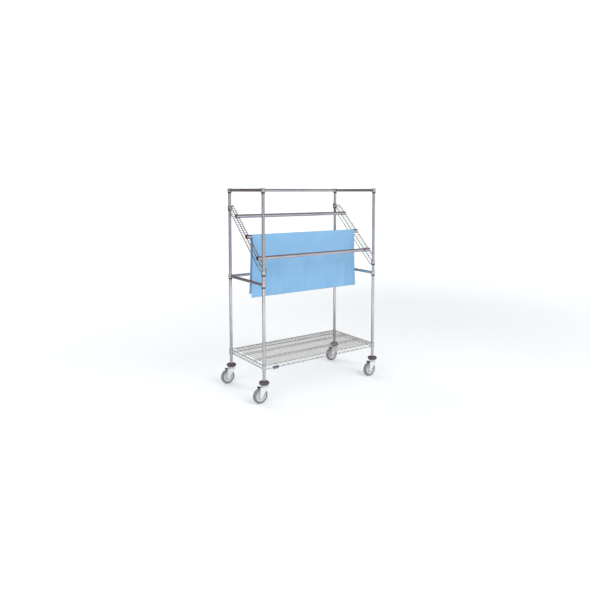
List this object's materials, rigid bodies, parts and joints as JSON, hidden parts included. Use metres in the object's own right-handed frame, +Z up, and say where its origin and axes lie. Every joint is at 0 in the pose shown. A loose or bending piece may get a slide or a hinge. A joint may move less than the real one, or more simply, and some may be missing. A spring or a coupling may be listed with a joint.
{
  "type": "laundry cart",
  "caption": "Open chrome wire cart on swivel casters, with slanted side brackets that carry loose bars for draping linen above a wire shelf.",
  "frame": {"origin": "centre of the cart's overall footprint, on the floor, as it stands with all four wheels trailing to the left", "axes": "+X the cart's right seen from its open front, -Y the open front, +Z up"},
  "size_m": [1.33, 0.6618, 1.756],
  "materials": {
    "chrome_tube": "bright chrome plate, drawn tube",
    "chrome_casting": "chrome plate over a casting",
    "chrome_wire": "chrome plated welded wire",
    "black_plastic": "satin moulded",
    "cap_plastic": "satin moulded",
    "bumper_rubber": "matt moulded",
    "zinc_steel": "bright zinc plate",
    "ball_steel": "polished",
    "grey_tyre": "matt",
    "hub_plastic": "satin moulded",
    "brake_plastic": "satin moulded",
    "blue_linen": "plain weave, matt",
    "label_plastic": "blank, glossy"
  },
  "bodies": {
    "frame": {"bracket_collars": "chrome_casting", "bracket_left_long_wires": "chrome_wire", "bracket_left_rungs": "chrome_wire", "bracket_right_long_wires": "chrome_wire", "bracket_right_rungs": "chrome_wire", "bracket_split_sleeves": "black_plastic", "caster_bumpers": "bumper_rubber", "caster_race_balls": "ball_steel", "caster_stems": "zinc_steel", "mid_corner_castings": "chrome_casting", "mid_rail_back": "chrome_tube", "mid_rail_left": "chrome_tube", "mid_rail_right": "chrome_tube", "mid_split_sleeves": "black_plastic", "post_caps": "cap_plastic", "post_front_left": "chrome_tube", "post_front_right": "chrome_tube", "post_rear_left": "chrome_tube", "post_rear_right": "chrome_tube", "shelf_collars": "chrome_casting", "shelf_label_plate": "label_plastic", "shelf_mat_wires": "chrome_wire", "shelf_ribs": "chrome_wire", "shelf_split_sleeves": "cap_plastic", "shelf_truss_front": "chrome_wire", "shelf_truss_left": "chrome_wire", "shelf_truss_rear": "chrome_wire", "shelf_truss_right": "chrome_wire", "top_corner_castings": "chrome_casting", "top_rail_back": "chrome_tube", "top_rail_left": "chrome_tube", "top_rail_right": "chrome_tube", "top_split_sleeves": "black_plastic"},
    "caster_front_left_swivel": {"caster_front_left_fork": "zinc_steel", "caster_front_left_axle": "zinc_steel"},
    "caster_front_left_wheel": {"caster_front_left_tyre": "grey_tyre", "caster_front_left_wheel_hub": "hub_plastic"},
    "caster_front_left_brake": {"caster_front_left_brake_pedal": "brake_plastic"},
    "caster_front_right_swivel": {"caster_front_right_fork": "zinc_steel", "caster_front_right_axle": "zinc_steel"},
    "caster_front_right_wheel": {"caster_front_right_tyre": "grey_tyre", "caster_front_right_wheel_hub": "hub_plastic"},
    "caster_front_right_brake": {"caster_front_right_brake_pedal": "brake_plastic"},
    "caster_rear_left_swivel": {"caster_rear_left_fork": "zinc_steel", "caster_rear_left_axle": "zinc_steel"},
    "caster_rear_left_wheel": {"caster_rear_left_tyre": "grey_tyre", "caster_rear_left_wheel_hub": "hub_plastic"},
    "caster_rear_left_brake": {"caster_rear_left_brake_pedal": "brake_plastic"},
    "caster_rear_right_swivel": {"caster_rear_right_fork": "zinc_steel", "caster_rear_right_axle": "zinc_steel"},
    "caster_rear_right_wheel": {"caster_rear_right_tyre": "grey_tyre", "caster_rear_right_wheel_hub": "hub_plastic"},
    "caster_rear_right_brake": {"caster_rear_right_brake_pedal": "brake_plastic"},
    "lower_bar": {"bar_lower": "chrome_tube", "bar_lower_end_caps": "black_plastic"},
    "middle_bar": {"bar_middle": "chrome_tube", "bar_middle_end_caps": "black_plastic", "draped_sheet": "blue_linen"},
    "upper_bar": {"bar_upper": "chrome_tube", "bar_upper_end_caps": "black_plastic"}
  },
  "joints": [
    {"name": "caster_front_left_swivel_turn", "type": "hinge", "parent": "frame", "child": "caster_front_left_swivel", "pos_m": [-0.5635, -0.2885, 0.135], "axis": [0, 0, 1], "continuous": true},
    {"name": "caster_front_left_wheel_roll", "type": "hinge", "parent": "caster_front_left_swivel", "child": "caster_front_left_wheel", "pos_m": [-0.6015, -0.2885, 0.0635], "axis": [0, 1, 0], "continuous": true},
    {"name": "caster_front_left_brake_press", "type": "hinge", "parent": "caster_front_left_swivel", "child": "caster_front_left_brake", "pos_m": [-0.608, -0.2885, 0.1313], "axis": [0, -1, 0], "range_deg": [0, 12]},
    {"name": "caster_front_right_swivel_turn", "type": "hinge", "parent": "frame", "child": "caster_front_right_swivel", "pos_m": [0.6225, -0.2885, 0.135], "axis": [0, 0, 1], "continuous": true},
    {"name": "caster_front_right_wheel_roll", "type": "hinge", "parent": "caster_front_right_swivel", "child": "caster_front_right_wheel", "pos_m": [0.5845, -0.2885, 0.0635], "axis": [0, 1, 0], "continuous": true},
    {"name": "caster_front_right_brake_press", "type": "hinge", "parent": "caster_front_right_swivel", "child": "caster_front_right_brake", "pos_m": [0.578, -0.2885, 0.1313], "axis": [0, -1, 0], "range_deg": [0, 12]},
    {"name": "caster_rear_left_swivel_turn", "type": "hinge", "parent": "frame", "child": "caster_rear_left_swivel", "pos_m": [-0.5635, 0.2885, 0.135], "axis": [0, 0, 1], "continuous": true},
    {"name": "caster_rear_left_wheel_roll", "type": "hinge", "parent": "caster_rear_left_swivel", "child": "caster_rear_left_wheel", "pos_m": [-0.6015, 0.2885, 0.0635], "axis": [0, 1, 0], "continuous": true},
    {"name": "caster_rear_left_brake_press", "type": "hinge", "parent": "caster_rear_left_swivel", "child": "caster_rear_left_brake", "pos_m": [-0.608, 0.2885, 0.1313], "axis": [0, -1, 0], "range_deg": [0, 12]},
    {"name": "caster_rear_right_swivel_turn", "type": "hinge", "parent": "frame", "child": "caster_rear_right_swivel", "pos_m": [0.6225, 0.2885, 0.135], "axis": [0, 0, 1], "continuous": true},
    {"name": "caster_rear_right_wheel_roll", "type": "hinge", "parent": "caster_rear_right_swivel", "child": "caster_rear_right_wheel", "pos_m": [0.5845, 0.2885, 0.0635], "axis": [0, 1, 0], "continuous": true},
    {"name": "caster_rear_right_brake_press", "type": "hinge", "parent": "caster_rear_right_swivel", "child": "caster_rear_right_brake", "pos_m": [0.578, 0.2885, 0.1313], "axis": [0, -1, 0], "range_deg": [0, 12]},
    {"name": "bar_lower_lift", "type": "slide", "parent": "frame", "child": "lower_bar", "axis": [0, 0, 1], "range_m": [0, 0.12]},
    {"name": "bar_middle_lift", "type": "slide", "parent": "frame", "child": "middle_bar", "axis": [0, 0, 1], "range_m": [0, 0.12]},
    {"name": "bar_upper_lift", "type": "slide", "parent": "frame", "child": "upper_bar", "axis": [0, 0, 1], "range_m": [0, 0.12]}
  ]
}
